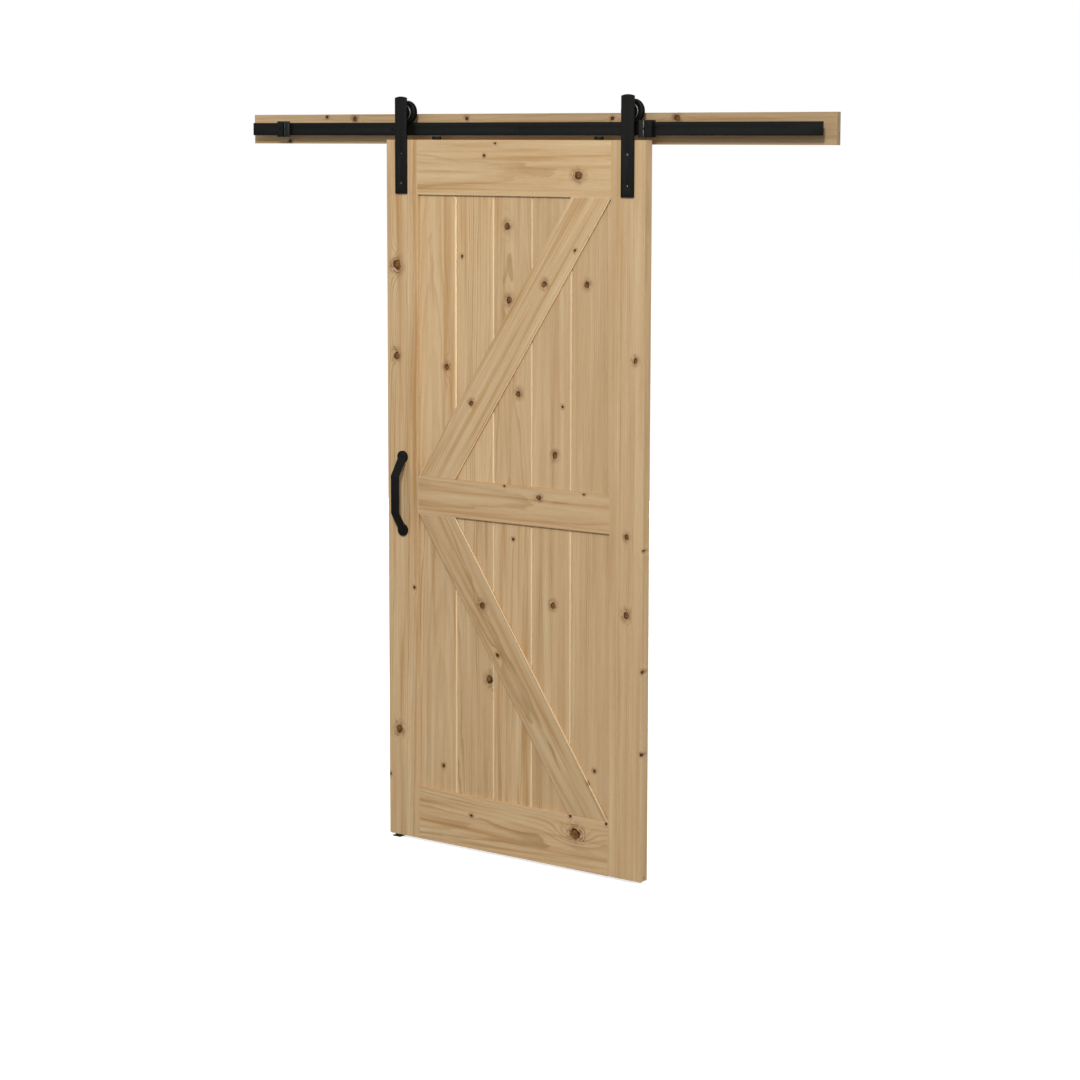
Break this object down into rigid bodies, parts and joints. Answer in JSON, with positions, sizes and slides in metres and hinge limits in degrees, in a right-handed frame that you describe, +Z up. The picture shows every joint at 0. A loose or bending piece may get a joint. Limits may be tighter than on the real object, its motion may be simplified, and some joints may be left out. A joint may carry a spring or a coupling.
{
  "type": "sliding barn door",
  "caption": "Top-hung sliding plank door with diagonal braces, rolling on a flat wall rail with hangers, end stops, pull handle and floor guide.",
  "frame": {"origin": "axis of the middle lag bolt at the back face of the header board, where it enters the wall", "axes": "+Z up, +Y into the wall, +X to the right seen from the front"},
  "size_m": [2.05, 0.171, 2.2716],
  "materials": {
    "knotty_pine": "planed, clear matt",
    "powder_coated_steel": "satin black powder coat",
    "zinc_plated_steel": "bright zinc",
    "bearing_steel": "ground",
    "black_rubber": "moulded",
    "beech_dowel": "turned",
    "brown_nylon": "moulded"
  },
  "bodies": {
    "track": {"header_board": "knotty_pine", "track_rail": "powder_coated_steel", "track_spacers": "powder_coated_steel", "lag_bolts": "powder_coated_steel", "floor_guide": "brown_nylon", "stop_saddle_left": "powder_coated_steel", "stop_saddle_right": "powder_coated_steel", "stop_bumper_left": "black_rubber", "stop_bumper_right": "black_rubber", "stop_backing_plates": "zinc_plated_steel", "stop_studs": "powder_coated_steel", "stop_grub_screws": "powder_coated_steel"},
    "door": {"stile_left": "knotty_pine", "stile_right": "knotty_pine", "top_rail": "knotty_pine", "middle_rail": "knotty_pine", "bottom_rail": "knotty_pine", "frame_dowels": "beech_dowel", "brace_front_upper": "knotty_pine", "brace_front_lower": "knotty_pine", "brace_back_upper": "knotty_pine", "brace_back_lower": "knotty_pine", "strap_left": "powder_coated_steel", "strap_right": "powder_coated_steel", "strap_screws": "powder_coated_steel", "sleeve_nuts": "powder_coated_steel", "axle_left": "zinc_plated_steel", "axle_right": "zinc_plated_steel", "axle_spacers": "zinc_plated_steel", "inner_race_left": "bearing_steel", "inner_race_right": "bearing_steel", "anti_jump_discs": "powder_coated_steel", "disc_screws": "zinc_plated_steel", "pull_handle": "powder_coated_steel", "handle_screws": "powder_coated_steel", "upper_plank_1": "knotty_pine", "upper_plank_2": "knotty_pine", "upper_plank_3": "knotty_pine", "upper_plank_4": "knotty_pine", "upper_plank_5": "knotty_pine", "lower_plank_1": "knotty_pine", "lower_plank_2": "knotty_pine", "lower_plank_3": "knotty_pine", "lower_plank_4": "knotty_pine", "lower_plank_5": "knotty_pine"},
    "wheel_left_body": {"wheel_left": "powder_coated_steel", "outer_race_left": "bearing_steel", "bearing_balls_left": "bearing_steel", "bearing_shields_left": "bearing_steel", "circlip_left": "zinc_plated_steel"},
    "wheel_right_body": {"wheel_right": "powder_coated_steel", "outer_race_right": "bearing_steel", "bearing_balls_right": "bearing_steel", "bearing_shields_right": "bearing_steel", "circlip_right": "zinc_plated_steel"}
  },
  "joints": [
    {"name": "door_slide", "type": "slide", "parent": "track", "child": "door", "axis": [1, 0, 0], "range_m": [-0.4226, 0]},
    {"name": "wheel_left_spin", "type": "hinge", "parent": "door", "child": "wheel_left_body", "pos_m": [-0.40005, -0.052, 0.049], "axis": [0, 1, 0], "range_deg": [-810, 0]},
    {"name": "wheel_right_spin", "type": "hinge", "parent": "door", "child": "wheel_right_body", "pos_m": [0.40005, -0.052, 0.049], "axis": [0, 1, 0], "range_deg": [-810, 0]}
  ],
  "couplings": [
    {"joint": "wheel_left_spin", "follows": "door_slide", "rad_per_m": 33.333},
    {"joint": "wheel_right_spin", "follows": "door_slide", "rad_per_m": 33.333}
  ]
}
